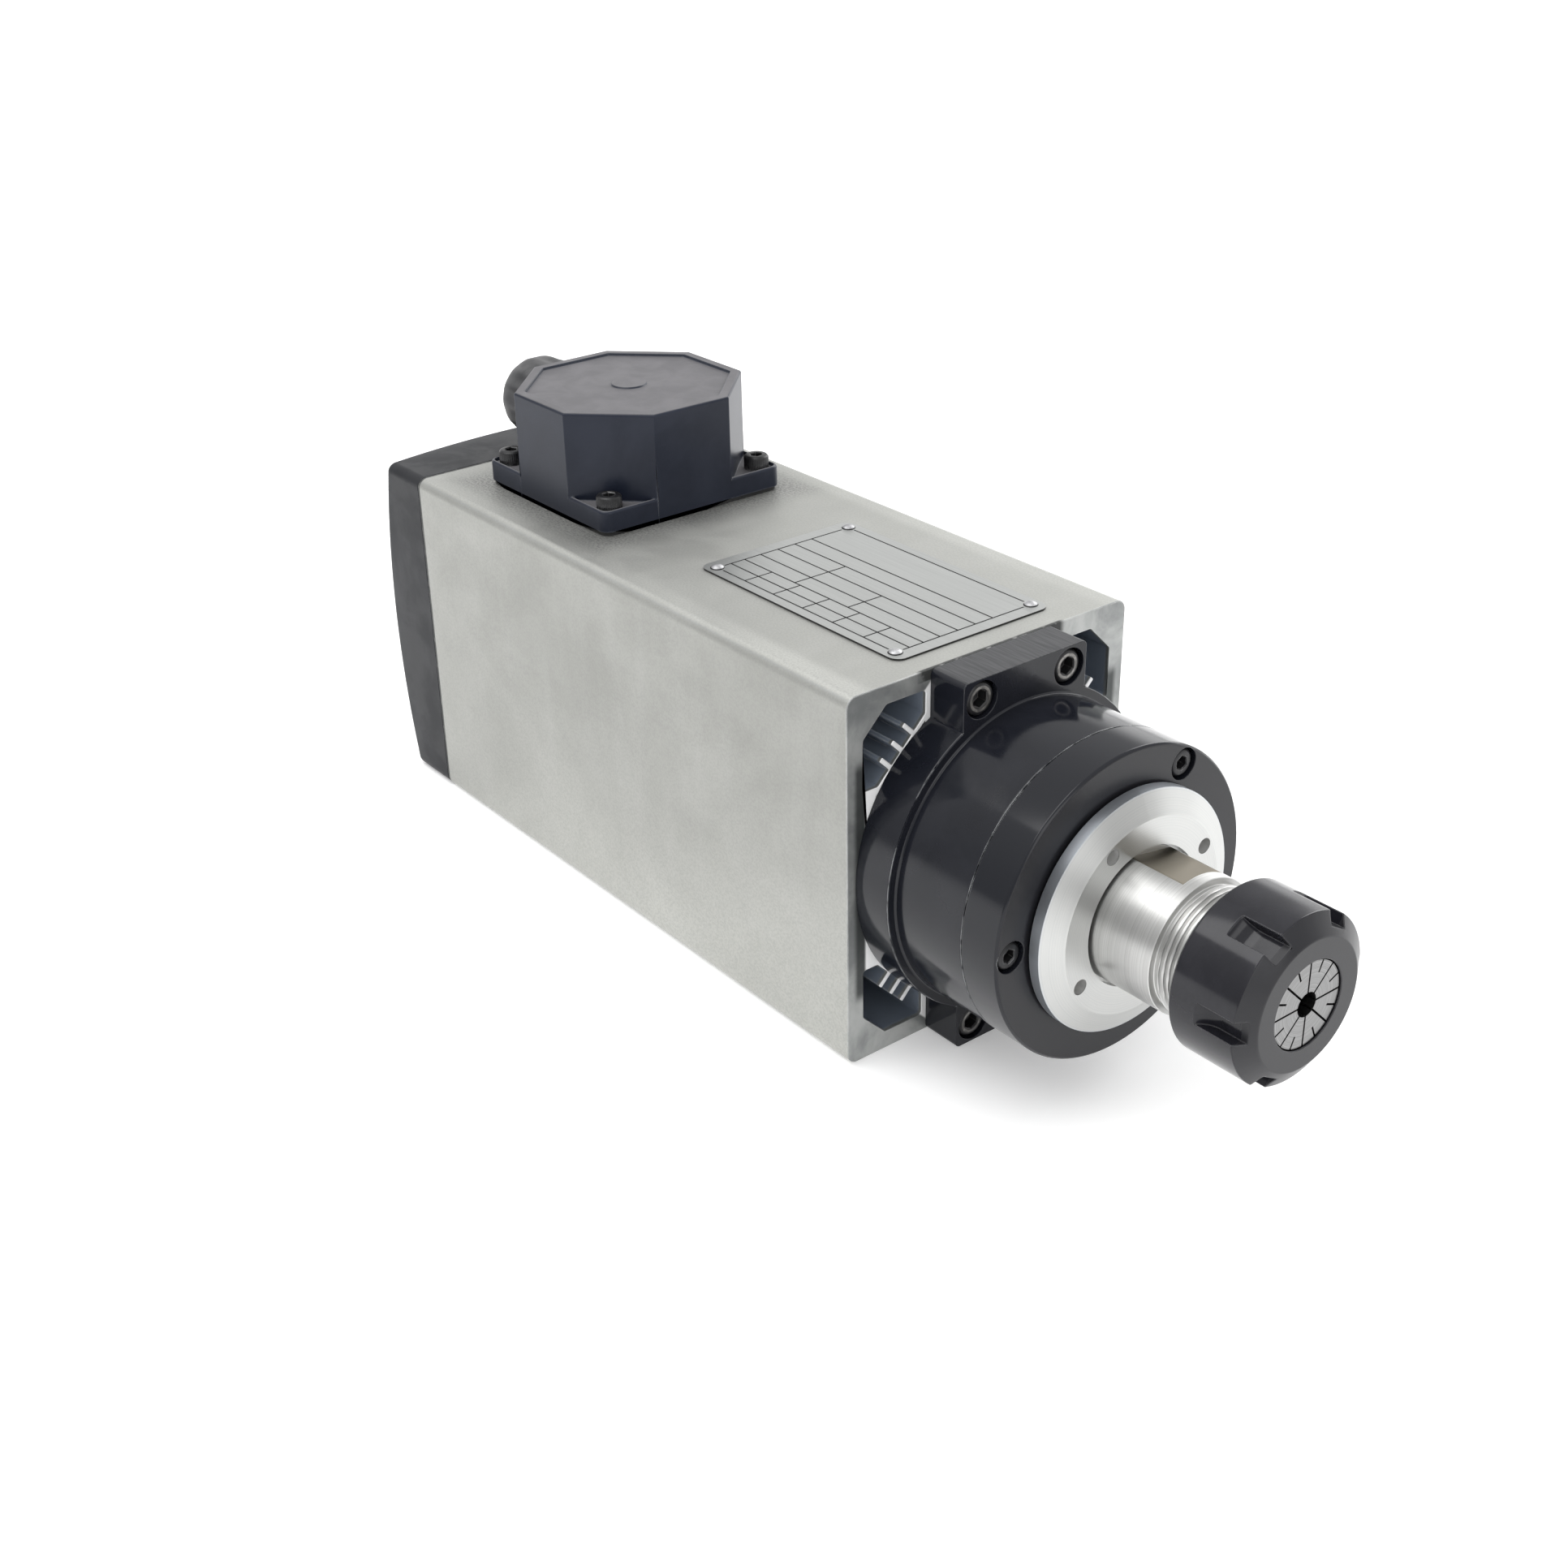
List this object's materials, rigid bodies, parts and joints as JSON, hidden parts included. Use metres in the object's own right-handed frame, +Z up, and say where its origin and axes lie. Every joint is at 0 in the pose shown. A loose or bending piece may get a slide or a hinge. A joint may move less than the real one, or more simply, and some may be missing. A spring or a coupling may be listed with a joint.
{
  "type": "motor spindle",
  "caption": "Square air-cooled electric spindle with a black bearing nose, collet chuck, slotted clamping nut, terminal box with cable gland and a rear fan cover.",
  "frame": {"origin": "centre of the four threaded mounting holes in the underside; z = 0 is that face", "axes": "+X along the shaft towards the collet nose, +Z up to the terminal box, shaft axis at z = 50 mm"},
  "size_m": [0.3238, 0.09, 0.1305],
  "materials": {
    "satin_aluminium": "satin, fine-blasted",
    "black_anodised": "semi-gloss black anodised",
    "turned_aluminium": "fine turned",
    "ground_steel": "ground",
    "black_oxide": "black oxide, lightly oiled",
    "black_screw": "black oxide",
    "collet_steel": "fine ground",
    "cover_paint": "satin dark grey paint on a die casting",
    "box_plastic": "moulded, fine grain",
    "gland_plastic": "moulded, rough",
    "plate_foil": "brushed foil with printed rules",
    "rivet_metal": "bright",
    "bearing_steel": "polished",
    "bearing_cage": "phenolic",
    "copper": "varnished",
    "core_steel": "stacked sheets",
    "cast_aluminium": "as cast",
    "fan_plastic": "moulded",
    "black_rubber": "matt",
    "spring_steel": "plain",
    "block_plastic": "moulded",
    "brass_plain": "plain",
    "wire_skin": "smooth"
  },
  "bodies": {
    "housing": {"body_extrusion": "satin_aluminium", "front_bearing_housing": "black_anodised", "housing_screws": "black_screw", "front_cap": "black_anodised", "front_cap_screws": "black_screw", "front_bearing_1_outer_ring": "bearing_steel", "front_bearing_2_outer_ring": "bearing_steel", "stator_core": "core_steel", "stator_winding": "copper", "lead_wires": "wire_skin", "rear_bearing_plate": "cast_aluminium", "rear_plate_screws": "black_screw", "rear_bearing_outer_ring": "bearing_steel", "preload_spring": "spring_steel", "rear_cover": "cover_paint", "rear_cover_screws": "black_screw", "terminal_box_gasket": "black_rubber", "terminal_box": "box_plastic", "terminal_box_screws": "black_screw", "terminal_block": "block_plastic", "terminal_block_screws": "brass_plain", "gland_body": "gland_plastic", "gland_locknut": "gland_plastic", "gland_seal": "black_rubber", "gland_nut": "gland_plastic", "nameplate": "plate_foil", "nameplate_rivets": "rivet_metal"},
    "spindle": {"spindle_shaft": "ground_steel", "dust_cap": "turned_aluminium", "front_bearing_1_inner_ring": "bearing_steel", "front_bearing_2_inner_ring": "bearing_steel", "bearing_locknut": "black_oxide", "rotor_core": "core_steel", "rotor_cage": "cast_aluminium", "rear_bearing_inner_ring": "bearing_steel", "fan_spacer": "cast_aluminium", "cooling_fan": "fan_plastic", "fan_circlip": "spring_steel"},
    "front_ball_set_1": {"front_bearing_1_cage": "bearing_cage", "front_bearing_1_balls": "bearing_steel"},
    "front_ball_set_2": {"front_bearing_2_cage": "bearing_cage", "front_bearing_2_balls": "bearing_steel"},
    "rear_ball_set": {"rear_bearing_cage": "bearing_cage", "rear_bearing_balls": "bearing_steel"},
    "collet": {"collet": "collet_steel"},
    "collet_nut": {"collet_nut": "black_oxide"}
  },
  "joints": [
    {"name": "spindle_turn", "type": "hinge", "parent": "housing", "child": "spindle", "pos_m": [0, 0, 0.05], "axis": [1, 0, 0], "continuous": true},
    {"name": "front_balls_1_turn", "type": "hinge", "parent": "housing", "child": "front_ball_set_1", "pos_m": [0, 0, 0.05], "axis": [1, 0, 0], "continuous": true},
    {"name": "front_balls_2_turn", "type": "hinge", "parent": "housing", "child": "front_ball_set_2", "pos_m": [0, 0, 0.05], "axis": [1, 0, 0], "continuous": true},
    {"name": "rear_balls_turn", "type": "hinge", "parent": "housing", "child": "rear_ball_set", "pos_m": [0, 0, 0.05], "axis": [1, 0, 0], "continuous": true},
    {"name": "collet_slide", "type": "slide", "parent": "spindle", "child": "collet", "axis": [1, 0, 0], "range_m": [0, 0.01201]},
    {"name": "nut_turn", "type": "hinge", "parent": "collet", "child": "collet_nut", "pos_m": [0.19, 0, 0.05], "axis": [1, 0, 0], "range_deg": [0, 2880]}
  ],
  "couplings": [
    {"joint": "front_balls_1_turn", "follows": "spindle_turn", "ratio": 0.41529},
    {"joint": "front_balls_2_turn", "follows": "spindle_turn", "ratio": 0.41529},
    {"joint": "rear_balls_turn", "follows": "spindle_turn", "ratio": 0.39677},
    {"joint": "collet_slide", "follows": "nut_turn", "m_per_rad": 0.00023873}
  ]
}
